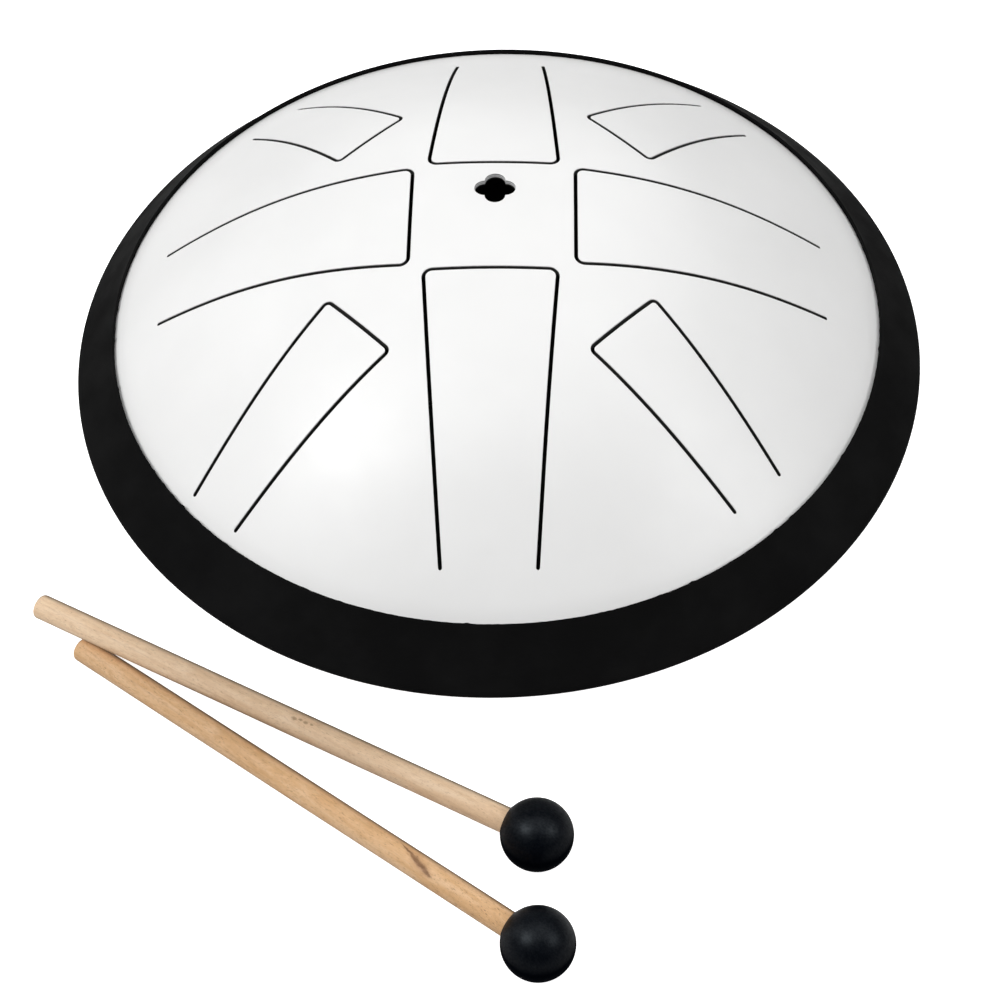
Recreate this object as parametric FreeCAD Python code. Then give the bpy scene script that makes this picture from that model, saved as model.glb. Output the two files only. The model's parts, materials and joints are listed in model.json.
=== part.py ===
import FreeCAD, Part
import math
import os

from FreeCAD import Vector

# Steel tongue drum with its pair of rubber-headed mallets.
# Millimetres, +Z up, front towards -Y, right towards +X.
# Origin on the drum's axis, at floor level under the feet's soles.
# The drum is modelled with its seam plane at z = 0 and lifted by SEAM_Z when written;
# the mallets are modelled directly on the floor.

os.makedirs("parts", exist_ok=True)

ORIGIN = Vector(0, 0, 0)
UP = Vector(0, 0, 1)

# ---------------------------------------------------------------- dimensions
# Steel dishes
SEAM_R = 127.0           # outer radius of both dishes at the seam
SHEET_T = 2.0
SEAM_Z = 60.0            # height of the seam above the floor
APEX_H = 56.966          # outside height of the top dish above the seam
PROFILE_R = 115.4        # radius where the dome's polynomial ends and the rim bend starts
PROFILE_DROPS = (26.9121, 38.1747, -26.6358, 5.5855)  # c_i in: drop = sum c_i (r/PROFILE_R)^(2i)
RIM_BEND = 0.02780       # extra drop outside PROFILE_R, per mm squared
# Radii the profile curve passes through; the last lies past the seam, for trimming
PROFILE_STATIONS = (
    0.0, 6, 12, 18, 24, 30, 36, 42, 48, 54, 60, 66, 72, 78, 84, 90, 96, 102, 108,
    113, 117, 120.5, 124, SEAM_R, 129.8,
)
SEAM_LINE_AZIMUTH = 22.5  # turns the revolved surface's seam line onto a land between tongues

# Tongues
SLOT_W = 1.1
ROOT_GAP = 0.06          # hairline between a tongue and the sheet it springs from
BIG_CORNER_R = 2.5       # corner radii on the slot's centreline
SMALL_CORNER_R = 1.6
# name: azimuth in degrees, inner edge's distance from the axis and half-width,
# root's distance and half-width, corner radius; all on the slot's centreline
TONGUES = {
    "tongue_front": (-90.0, 21.37, 19.24, 102.01, 13.44, BIG_CORNER_R),
    "tongue_right": (0.0, 24.28, 18.97, 97.88, 14.36, BIG_CORNER_R),
    "tongue_back": (89.6, 20.65, 19.27, 88.00, 13.70, BIG_CORNER_R),
    "tongue_left": (180.0, 23.63, 19.28, 99.97, 13.89, BIG_CORNER_R),
    "tongue_front_right": (-45.0, 52.54, 13.02, 105.73, 9.31, SMALL_CORNER_R),
    "tongue_front_left": (-135.0, 52.67, 13.04, 110.61, 8.99, SMALL_CORNER_R),
    "tongue_back_right": (45.0, 52.54, 13.24, 101.02, 9.67, SMALL_CORNER_R),
    "tongue_back_left": (135.0, 52.66, 13.20, 100.56, 9.60, SMALL_CORNER_R),
}

# Four-lobed hole in the top, a little right of and behind the axis
CLOVER_X = 0.8
CLOVER_Y = 9.3
CLOVER_LOBE_R = 3.0
CLOVER_LOBE_AT_R = 3.0   # lobe centre to hole centre

PORT_R = 30.0            # round sound hole in the bottom dish

# Weld bead along the seam
WELD_R = 0.9
WELD_AT_R = 126.6

# Rubber edge
LIP_R = PROFILE_R        # radius of the two lips
LIP_RISE = 14.87         # height of the upper lip above the seam
NOSE_R = 2.1             # rounding of the outer edge
NOSE_AT_R = 127.1        # radius the rounding is centred on
RUBBER_GAP = 0.03        # rubber to steel
RUBBER_WELD_GAP = 0.05   # rubber to weld bead

# Feet; heights are measured outwards from the dish's outer face
FOOT_AT_R = 52.0
FOOT_AZIMUTHS = {"foot_back": 90.0, "foot_left": 210.0, "foot_right": 330.0}
FOOT_TOP_R = 12.0        # radius against the dish
FOOT_END_R = 10.0        # radius near the floor
FOOT_OVERLAP = 3.0       # depth past the dish's face, before trimming to it
FOOT_TAPER_START = 1.5
FOOT_TAPER_END = 13.0
FOOT_LENGTH = 16.0       # before trimming to the floor
FOOT_RECESS_R = 5.0      # counterbore for the screw's head
FOOT_FLOOR_T = 3.5       # rubber left under the screw's head
FOOT_DISH_GAP = 0.02

# M4 fasteners
SCREW_R = 2.0
SCREW_CHAMFER = 0.5
SCREW_PAST_NUT = 1.6
SCREW_HEAD_R = 3.75
SCREW_HEAD_H = 2.4
SCREW_HEAD_SIDE_H = 1.2  # straight part of the head's side
SCREW_HEAD_FLAT_R = 1.9
SCREW_HEAD_ARC_MIDDLE = (3.1, 2.05)  # radius, height above the head's underside
CROSS_L = 4.2            # the head's cross recess
CROSS_W = 0.9
CROSS_BOX_H = 2.0
CROSS_FROM_H = 1.0       # its floor above the head's underside
SCREW_SEAT_GAP = 0.02    # lift of the head off foot floor plus washer
DISH_HOLE_R = 2.2
LOOSE_HOLE_R = SCREW_R + 0.15   # hole through foot and washer
WASHER_R = 4.5
WASHER_T = 0.8
WASHER_GAP = 0.01
NUT_AF = 7.0             # across flats
NUT_H = 3.2
NUT_HOLE_R = SCREW_R + 0.03
NUT_OFFSET = 0.12        # nut's face past the nominal inside of the sheet
NUT_CONE_R = 3.55        # cone that trims the corners of the nut's free end
NUT_CONE_FLARE = 2.2     # the cone's radius gained per unit of height

# Mallets
STICK_R = 3.93
STICK_CHAMFER = 0.4      # at the end inside the ball
BUTT_ROUND = 1.1
BALL_R = 10.7
MALLET_L = 175.0         # butt end to ball centre
SOCKET_PAST = 3.0        # how far the stick runs past the ball's centre
SOCKET_SIDE_GAP = 0.02
SOCKET_END_GAP = 0.2
FLOOR_GAP = 0.10
# Plan position of the ball's centre, plan point the butt end aims at,
# height of the butt end's centre
MALLETS = {
    "mallet_upper": ((12.51, -145.41), (-142.18, -65.71), 10.86),
    "mallet_lower": ((12.94, -179.54), (-129.57, -76.60), STICK_R + FLOOR_GAP + 0.01),
}


# ---------------------------------------------------------------- shared helpers
def cylinder(radius, height, bottom_z, x=0, y=0):
    return Part.makeCylinder(radius, height, Vector(x, y, bottom_z), UP)


def mirrored(shape):
    """Mirror image below the seam plane."""
    return shape.mirror(ORIGIN, UP)


def largest(shape):
    return max(shape.Solids, key=lambda solid: solid.Volume)


def revolved(face):
    shape = face.revolve(ORIGIN, UP, 360)
    # guards against a full turn that comes back as a shell
    return shape if shape.ShapeType == "Solid" else Part.Solid(shape.Shells[0])


def turned_solid(section, arc_middles=None):
    """Revolve a closed (radius, z) section.

    arc_middles maps a point's index to the middle of the arc that starts there.
    """
    arc_middles = arc_middles or {}
    points = [Vector(r, 0, z) for r, z in section]
    edges = []
    for i, start in enumerate(points):
        end = points[(i + 1) % len(points)]
        if i in arc_middles:
            r, z = arc_middles[i]
            edges.append(Part.Arc(start, Vector(r, 0, z), end).toShape())
        else:
            edges.append(Part.makeLine(start, end))
    return revolved(Part.Face(Part.Wire(edges)))


# ---------------------------------------------------------------- dish profile
def dome_z(r):
    """Outside height of the top dish above the seam at radius r."""
    ratio = min(r, PROFILE_R) / PROFILE_R
    z = APEX_H - sum(c * ratio ** (2 * i) for i, c in enumerate(PROFILE_DROPS, 1))
    if r > PROFILE_R:
        slope = -sum(2 * i * c for i, c in enumerate(PROFILE_DROPS, 1)) / PROFILE_R
        past = r - PROFILE_R
        z += slope * past - RIM_BEND * past * past
    return z


def dome_slope(r, step=0.01):
    return (dome_z(r + step) - dome_z(r - step)) / (2 * step)


def profile_point(r, inset):
    """Point of the profile moved inwards along its normal; a negative inset is outwards."""
    slope = dome_slope(r)
    length = math.hypot(1.0, slope)
    return Vector(r + inset * slope / length, 0, dome_z(r) - inset / length)


def profile_edge(inset):
    """Profile as an edge, with its first and last points."""
    points = [profile_point(r, inset) for r in PROFILE_STATIONS]
    end_slope = dome_slope(PROFILE_STATIONS[-1] - 0.02)
    length = math.hypot(1.0, end_slope)
    curve = Part.BSplineCurve()
    curve.interpolate(
        Points=points,
        InitialTangent=Vector(1, 0, 0),
        FinalTangent=Vector(1 / length, 0, end_slope / length),
    )
    return curve.toShape(), points[0], points[-1]


def dish_from(edges):
    """Revolve a dish's section and trim it at the seam plane."""
    solid = revolved(Part.Face(Part.Wire(Part.sortEdges(edges)[0])))
    solid.rotate(ORIGIN, UP, SEAM_LINE_AZIMUTH)
    return solid.common(cylinder(150, 80, 0)).Solids[0]


def sheet_dish():
    outer, outer_start, outer_end = profile_edge(0.0)
    inner, inner_start, inner_end = profile_edge(SHEET_T)
    return dish_from([
        outer,
        Part.makeLine(outer_end, inner_end),
        inner,
        Part.makeLine(inner_start, outer_start),
    ])


def filled_dish(margin):
    """Solid dome, larger than the dish's outside by margin."""
    outer, start, end = profile_edge(-margin)
    below_end = Vector(end.x, 0, -8)
    below_start = Vector(0, 0, -8)
    return dish_from([
        outer,
        Part.makeLine(end, below_end),
        Part.makeLine(below_end, below_start),
        Part.makeLine(below_start, start),
    ])


# ---------------------------------------------------------------- tongue outlines in plan
# Drawn with the tongue along +X, then turned to its azimuth.
def flipped(point):
    return Vector(point.x, -point.y, 0)


def side_direction(inner_x, inner_half, root_x, root_half):
    """Unit vector along the tongue's +Y side, from inner edge to root."""
    return Vector(root_x - inner_x, root_half - inner_half, 0).normalize()


def left_normal(direction):
    return Vector(-direction.y, direction.x, 0)


def slot_corners(size, shift, end_x):
    """Corners of the centreline moved outwards by shift, with its two ends at end_x."""
    inner_x, inner_half = size[:2]
    side = side_direction(*size)
    base = Vector(inner_x, inner_half, 0) + left_normal(side) * shift

    def on_side(x):
        return base + side * ((x - base.x) / side.x)

    end, inner = on_side(end_x), on_side(inner_x - shift)
    return [end, inner, flipped(inner), flipped(end)]


def rounded_corner(before, corner, after, radius):
    """First tangent point, arc middle and second tangent point."""
    back = (before - corner).normalize()
    ahead = (after - corner).normalize()
    half_angle = 0.5 * back.getAngle(ahead)
    reach = radius / math.tan(half_angle)
    bisector = (back + ahead).normalize()
    centre = corner + bisector * (radius / math.sin(half_angle))
    return corner + back * reach, centre - bisector * radius, corner + ahead * reach


def round_cornered_u(corners, radius):
    """Edges from the first corner to the last, the two between rounded."""
    first = rounded_corner(*corners[:3], radius)
    second = rounded_corner(*corners[1:], radius)
    return [
        Part.makeLine(corners[0], first[0]),
        Part.Arc(*first).toShape(),
        Part.makeLine(first[2], second[0]),
        Part.Arc(*second).toShape(),
        Part.makeLine(second[2], corners[3]),
    ]


def plan_prism(edges, azimuth):
    """Upright prism, tall enough to pass right through the top dish."""
    face = Part.Face(Part.Wire(edges))
    face.translate(Vector(0, 0, -30))
    solid = face.extrude(Vector(0, 0, 120))
    solid.rotate(ORIGIN, UP, azimuth)
    return solid


def tongue_prism(azimuth, *size, corner_r):
    """Area inside the slot, closed by a straight root."""
    shift = -SLOT_W / 2
    corners = slot_corners(size, shift, size[2] - ROOT_GAP / 2)
    edges = round_cornered_u(corners, corner_r + shift)
    return plan_prism(edges + [Part.makeLine(corners[3], corners[0])], azimuth)


def opening_prism(azimuth, *size, corner_r):
    """Area of tongue and slot: round slot ends and a straight edge across the root."""
    half_slot, half_gap = SLOT_W / 2, ROOT_GAP / 2
    side = side_direction(*size)
    slot_end = Vector(size[2], size[3], 0)
    tangent = slot_end + left_normal(side) * half_slot
    far = slot_end + side * half_slot
    meet = slot_end + Vector(half_gap, -math.sqrt(half_slot ** 2 - half_gap ** 2), 0)
    corners = slot_corners(size, half_slot, tangent.x)
    return plan_prism([
        Part.Arc(meet, far, corners[0]).toShape(),
        *round_cornered_u(corners, corner_r + half_slot),
        Part.Arc(corners[3], flipped(far), flipped(meet)).toShape(),
        Part.makeLine(flipped(meet), meet),
    ], azimuth)


# ---------------------------------------------------------------- steel body
def clover():
    shape = None
    for k in range(4):
        angle = math.radians(90 * k)
        x = CLOVER_X + CLOVER_LOBE_AT_R * math.cos(angle)
        y = CLOVER_Y + CLOVER_LOBE_AT_R * math.sin(angle)
        lobe = cylinder(CLOVER_LOBE_R, 60, 30, x, y)
        shape = lobe if shape is None else shape.fuse(lobe)
    return shape


def seam_bead(clearance=0.0):
    return Part.makeTorus(WELD_AT_R, WELD_R + clearance, ORIGIN, UP)


def top_shell_and_tongues():
    shell = sheet_dish()
    tongues = {
        name: largest(shell.common(tongue_prism(*spec, corner_r=corner_r)))
        for name, (*spec, corner_r) in TONGUES.items()
    }
    for *spec, corner_r in TONGUES.values():
        shell = shell.cut(opening_prism(*spec, corner_r=corner_r))
    shell = shell.cut(clover())
    return largest(shell.cut(seam_bead())), tongues


def bottom_shell():
    shell = mirrored(sheet_dish())
    shell = shell.cut(cylinder(PORT_R, 80, -90))
    for azimuth in FOOT_AZIMUTHS.values():
        shell = shell.cut(place_at_foot(cylinder(DISH_HOLE_R, 12, -6), azimuth))
    return largest(shell.cut(seam_bead()))


def rubber_ring():
    """Wedge around the seam: a flat face from each lip runs tangent into the round nose."""
    hull_top = filled_dish(RUBBER_GAP)
    hull = hull_top.fuse(mirrored(hull_top))
    run, fall = NOSE_AT_R - LIP_R, -LIP_RISE
    face_angle = math.atan2(fall, run) + math.asin(NOSE_R / math.hypot(run, fall))
    tangent_r = NOSE_AT_R - NOSE_R * math.sin(face_angle)
    tangent_z = NOSE_R * math.cos(face_angle)
    ring = turned_solid(
        [(LIP_R, LIP_RISE), (tangent_r, tangent_z), (tangent_r, -tangent_z), (LIP_R, -LIP_RISE)],
        {1: (NOSE_AT_R + NOSE_R, 0)},
    )
    return largest(ring.cut(hull).cut(seam_bead(RUBBER_WELD_GAP)))


# ---------------------------------------------------------------- feet and fasteners
# Local z runs outwards along the dish's normal, from its outer face.
def place_at_foot(shape, azimuth):
    """Move a shape, in place, from the local frame to a foot's position."""
    tilt = math.degrees(math.atan(-dome_slope(FOOT_AT_R)))
    shape.rotate(ORIGIN, Vector(0, 1, 0), 180 - tilt)
    shape.translate(Vector(FOOT_AT_R, 0, -dome_z(FOOT_AT_R)))
    shape.rotate(ORIGIN, UP, azimuth)
    return shape


def foot(azimuth, dish_hull):
    body = turned_solid([
        (0, -FOOT_OVERLAP), (FOOT_TOP_R, -FOOT_OVERLAP), (FOOT_TOP_R, FOOT_TAPER_START),
        (FOOT_END_R, FOOT_TAPER_END), (FOOT_END_R, FOOT_LENGTH), (0, FOOT_LENGTH),
    ])
    body = body.cut(cylinder(LOOSE_HOLE_R, 12, -4))
    body = body.cut(cylinder(FOOT_RECESS_R, 40, FOOT_FLOOR_T))
    body = place_at_foot(body, azimuth).cut(dish_hull)
    below_floor = Part.makeBox(400, 400, 60, Vector(-200, -200, -SEAM_Z - 60))
    return largest(body.cut(below_floor))


def screw():
    seat = FOOT_FLOOR_T + WASHER_T + SCREW_SEAT_GAP
    tip = -(SHEET_T + NUT_H + SCREW_PAST_NUT)
    head_top = seat + SCREW_HEAD_H
    arc_r, arc_h = SCREW_HEAD_ARC_MIDDLE
    body = turned_solid(
        [
            (0, tip), (SCREW_R - SCREW_CHAMFER, tip), (SCREW_R, tip + SCREW_CHAMFER),
            (SCREW_R, seat), (SCREW_HEAD_R, seat), (SCREW_HEAD_R, seat + SCREW_HEAD_SIDE_H),
            (SCREW_HEAD_FLAT_R, head_top), (0, head_top),
        ],
        {5: (arc_r, seat + arc_h)},
    )
    for angle in (0, 90):
        corner = Vector(-CROSS_L / 2, -CROSS_W / 2, seat + CROSS_FROM_H)
        slot = Part.makeBox(CROSS_L, CROSS_W, CROSS_BOX_H, corner)
        slot.rotate(ORIGIN, UP, angle)
        body = body.cut(slot)
    return body


def washer():
    disc = cylinder(WASHER_R, WASHER_T, FOOT_FLOOR_T + WASHER_GAP)
    return disc.cut(cylinder(LOOSE_HOLE_R, 4, FOOT_FLOOR_T - 1))


def nut():
    free_z = -(SHEET_T + NUT_OFFSET) - NUT_H
    corner_r = NUT_AF / 2 / math.cos(math.radians(30))
    angles = [math.radians(60 * k) for k in range(7)]
    corners = [Vector(corner_r * math.cos(a), corner_r * math.sin(a), free_z) for a in angles]
    body = Part.Face(Part.makePolygon(corners)).extrude(Vector(0, 0, NUT_H))
    wide_r = NUT_CONE_R + NUT_H * NUT_CONE_FLARE
    body = body.common(Part.makeCone(NUT_CONE_R, wide_r, NUT_H, Vector(0, 0, free_z), UP))
    return body.cut(cylinder(NUT_HOLE_R, 10, free_z - 2))


# ---------------------------------------------------------------- mallets
def stick():
    """Local z runs from the ball's centre to the butt end."""
    start, end = -SOCKET_PAST, MALLET_L
    inset = BUTT_ROUND * (1 - math.sqrt(0.5))
    return turned_solid(
        [
            (0, start), (STICK_R - STICK_CHAMFER, start), (STICK_R, start + STICK_CHAMFER),
            (STICK_R, end - BUTT_ROUND), (STICK_R - BUTT_ROUND, end), (0, end),
        ],
        {3: (STICK_R - inset, end - inset)},
    )


def ball():
    socket = cylinder(STICK_R + SOCKET_SIDE_GAP, 20, -SOCKET_PAST - SOCKET_END_GAP)
    return Part.makeSphere(BALL_R).cut(socket)


def mallet_placement(ball_xy, butt_xy, butt_z):
    centre = Vector(*ball_xy, BALL_R + FLOOR_GAP)
    heading = (Vector(*butt_xy, 0) - Vector(*ball_xy, 0)).normalize()
    rise = butt_z - centre.z
    run = math.sqrt(MALLET_L ** 2 - rise ** 2)
    direction = Vector(heading.x * run, heading.y * run, rise).normalize()
    return FreeCAD.Placement(centre, FreeCAD.Rotation(UP, direction))


# ---------------------------------------------------------------- write
def write(name, shapes, lift=SEAM_Z):
    solids = []
    for shape in shapes:
        shape = shape.copy()
        shape.translate(Vector(0, 0, lift))
        solids += shape.Solids
    piece = solids[0] if len(solids) == 1 else Part.makeCompound(solids)
    piece.exportStep("parts/" + name + ".step")


top_shell, tongues = top_shell_and_tongues()
write("top_shell", [top_shell])
for name, tongue in tongues.items():
    write(name, [tongue])
write("bottom_shell", [bottom_shell()])
write("seam_weld", [seam_bead()])
write("rubber_ring", [rubber_ring()])

dish_hull = mirrored(filled_dish(FOOT_DISH_GAP))
for name, azimuth in FOOT_AZIMUTHS.items():
    write(name, [foot(azimuth, dish_hull)])
for name, make in (("foot_screws", screw), ("foot_washers", washer), ("foot_nuts", nut)):
    write(name, [place_at_foot(make(), azimuth) for azimuth in FOOT_AZIMUTHS.values()])

for name, position in MALLETS.items():
    for suffix, make in (("_stick", stick), ("_ball", ball)):
        shape = make()
        shape.Placement = mallet_placement(*position)
        write(name + suffix, [shape], lift=0)
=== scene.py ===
# Steel tongue drum, with two mallets lying on the floor in front of it and to its left.
# Worked out in millimetres and written in metres.  The origin is on the drum's axis at the floor,
# +Z is up, and the front tongue points along -Y.
import json
import math
from collections import namedtuple

import bpy
import numpy as np
from mathutils import Matrix, Vector, geometry, kdtree

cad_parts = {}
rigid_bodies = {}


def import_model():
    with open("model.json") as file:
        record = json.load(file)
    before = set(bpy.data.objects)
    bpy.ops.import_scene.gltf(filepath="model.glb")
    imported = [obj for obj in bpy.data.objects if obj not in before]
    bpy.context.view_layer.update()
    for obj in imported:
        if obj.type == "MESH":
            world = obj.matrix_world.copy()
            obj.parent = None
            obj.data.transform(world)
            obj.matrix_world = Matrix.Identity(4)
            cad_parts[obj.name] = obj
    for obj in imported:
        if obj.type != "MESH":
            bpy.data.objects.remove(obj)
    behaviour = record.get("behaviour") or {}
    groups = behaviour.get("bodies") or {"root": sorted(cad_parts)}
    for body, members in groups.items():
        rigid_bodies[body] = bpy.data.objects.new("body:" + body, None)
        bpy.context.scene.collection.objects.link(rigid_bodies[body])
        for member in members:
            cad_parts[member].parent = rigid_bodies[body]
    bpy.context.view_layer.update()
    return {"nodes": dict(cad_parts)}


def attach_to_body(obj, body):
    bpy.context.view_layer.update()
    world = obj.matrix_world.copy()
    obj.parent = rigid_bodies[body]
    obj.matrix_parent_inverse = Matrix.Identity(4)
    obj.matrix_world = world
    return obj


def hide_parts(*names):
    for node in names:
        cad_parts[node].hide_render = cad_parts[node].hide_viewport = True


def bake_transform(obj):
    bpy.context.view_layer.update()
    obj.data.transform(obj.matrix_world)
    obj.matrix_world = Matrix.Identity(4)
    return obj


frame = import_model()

MM = 0.001
RNG = np.random.default_rng(7)

# ------------------------------------------------------------------ driving dimensions, mm
SEAM_Z = 60.0               # where the two dishes meet
APEX_H = 56.966             # dome height above the seam
SHEET_T = 2.0
PROFILE_R = 115.4           # the dome's polynomial holds up to here
PROFILE_C = (26.9121, 38.1747, -26.6358, 5.5855)    # drop, for the powers 2, 4, 6, 8 of r/PROFILE_R
RIM_BEND = 0.02780          # quadratic drop beyond PROFILE_R, 1/mm
RIM_R = 125.75

SLOT_W = 1.1
HALF_SLOT = SLOT_W / 2
# Azimuth in degrees, then the slot's centreline: distance and half width at the tip (nearest
# the axis), distance and half width at the root, radius of the tip's corners.
Tongue = namedtuple("Tongue", "azimuth tip tip_half root root_half corner_r")
TONGUES = {
    "tongue_front": Tongue(-90.0, 21.37, 19.24, 102.01, 13.44, 2.5),
    "tongue_right": Tongue(0.0, 24.28, 18.97, 97.88, 14.36, 2.5),
    "tongue_back": Tongue(89.6, 20.65, 19.27, 88.00, 13.70, 2.5),
    "tongue_left": Tongue(180.0, 23.63, 19.28, 99.97, 13.89, 2.5),
    "tongue_front_right": Tongue(-45.0, 52.54, 13.02, 105.73, 9.31, 1.6),
    "tongue_front_left": Tongue(-135.0, 52.67, 13.04, 110.61, 8.99, 1.6),
    "tongue_back_right": Tongue(45.0, 52.54, 13.24, 101.02, 9.67, 1.6),
    "tongue_back_left": Tongue(135.0, 52.66, 13.20, 100.56, 9.60, 1.6),
}
CLOVER_AT = (0.8, 9.3)
LOBE_R = 3.0
LOBE_OFFSET = 3.0           # from the clover's middle to a lobe's
PORT_R = 30.0
WELD_AT_R = 126.6
STICK_R, BALL_R, MALLET_L = 3.93, 10.7, 175.0
FLOOR_GAP = 0.10


# ------------------------------------------------------------------ dome surface
def profile_slope(u):
    """Slope of the polynomial at u = r / PROFILE_R."""
    return -sum(2 * k * c * u ** (2 * k - 1) for k, c in enumerate(PROFILE_C, 1)) / PROFILE_R


def top_z(r):
    """Height of the top dish's outer face at radius r."""
    r = np.asarray(r, float)
    u = np.minimum(r, PROFILE_R) / PROFILE_R
    z = APEX_H - sum(c * u ** (2 * k) for k, c in enumerate(PROFILE_C, 1))
    past = np.maximum(r - PROFILE_R, 0)
    return SEAM_Z + z + profile_slope(1.0) * past - RIM_BEND * past * past


def top_slope(r):
    r = np.asarray(r, float)
    past = np.maximum(r - PROFILE_R, 0)
    return profile_slope(np.minimum(r, PROFILE_R) / PROFILE_R) - 2 * RIM_BEND * past


def below_seam(z):
    """The height z mirrored in the seam's plane."""
    return 2 * SEAM_Z - z


# the inner face is the outer one, moved one sheet along its normal
SAMPLE_R = np.linspace(0, 132, 1321)
SAMPLE_LEN = np.hypot(1.0, top_slope(SAMPLE_R))
INNER_R = SAMPLE_R + SHEET_T * top_slope(SAMPLE_R) / SAMPLE_LEN
INNER_Z = top_z(SAMPLE_R) - SHEET_T / SAMPLE_LEN


def inner_z(r):
    """Height of the top dish's inner face at radius r."""
    return np.interp(r, INNER_R, INNER_Z)


def inner_slope(r):
    return np.interp(r, INNER_R, top_slope(SAMPLE_R))


# ------------------------------------------------------------------ mesh helpers
def unit(v):
    return v / np.maximum(np.linalg.norm(v, axis=-1, keepdims=True), 1e-12)


def new_object(name, verts_mm, faces, mats, mat_index=None, sharp_deg=None):
    me = bpy.data.meshes.new(name)
    me.from_pydata([tuple(v) for v in (np.asarray(verts_mm, float) * MM)], [], faces)
    me.validate(clean_customdata=False)
    me.polygons.foreach_set("use_smooth", np.ones(len(me.polygons), bool))
    for mat in mats:
        me.materials.append(mat)
    if mat_index is not None:
        me.polygons.foreach_set("material_index", np.asarray(mat_index, np.int32))
    ob = bpy.data.objects.new(name, me)
    bpy.context.scene.collection.objects.link(ob)
    if sharp_deg is not None:
        me.set_sharp_from_angle(angle=math.radians(sharp_deg))
    me.update()
    return ob


def point_attribute(ob, name, values, kind="FLOAT"):
    attribute = ob.data.attributes.new(name, kind, "POINT")
    field = "value" if kind == "FLOAT" else "vector"
    attribute.data.foreach_set(field, np.asarray(values, np.float32).ravel())


def lathe(name, profile, segments, mats, sharp_deg, mat_of=None, warp=None):
    """Revolve a closed (r, z) profile about Z.  Points with r = 0 become poles.
    warp(i, angles, r, z) may move the ring of profile point i."""
    count = len(profile)
    angles = np.linspace(0, 2 * math.pi, segments, endpoint=False)
    verts, rows, poles = [], [], []
    for i, (r, z) in enumerate(profile):
        poles.append(r < 1e-9)
        if poles[i]:
            rows.append([len(verts)] * segments)
            verts.append((0, 0, z))
            continue
        ring_r, ring_z = np.full(segments, float(r)), np.full(segments, float(z))
        if warp is not None:
            ring_r, ring_z = warp(i, angles, ring_r, ring_z)
        rows.append(list(range(len(verts), len(verts) + segments)))
        verts += list(zip(ring_r * np.cos(angles), ring_r * np.sin(angles), ring_z))
    faces, mat_index = [], []
    for i in range(count):
        after = (i + 1) % count
        a, b = rows[i], rows[after]
        if poles[i] and poles[after]:
            continue
        for k in range(segments):
            k2 = (k + 1) % segments
            if poles[i]:
                faces.append((a[0], b[k2], b[k]))
            elif poles[after]:
                faces.append((a[k], a[k2], b[0]))
            else:
                faces.append((a[k], a[k2], b[k2], b[k]))
            mat_index.append(mat_of(i) if mat_of else 0)
    return new_object(name, verts, faces, mats, mat_index, sharp_deg)


def arc_points(cx, cz, r, start_deg, end_deg, count):
    t = np.radians(np.linspace(start_deg, end_deg, count))
    return list(zip(cx + r * np.cos(t), cz + r * np.sin(t)))


def attach(ob, carrier, node):
    """Let ob move with carrier and stand in for the CAD node, which is hidden."""
    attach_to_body(ob, carrier)
    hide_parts(node)


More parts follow.
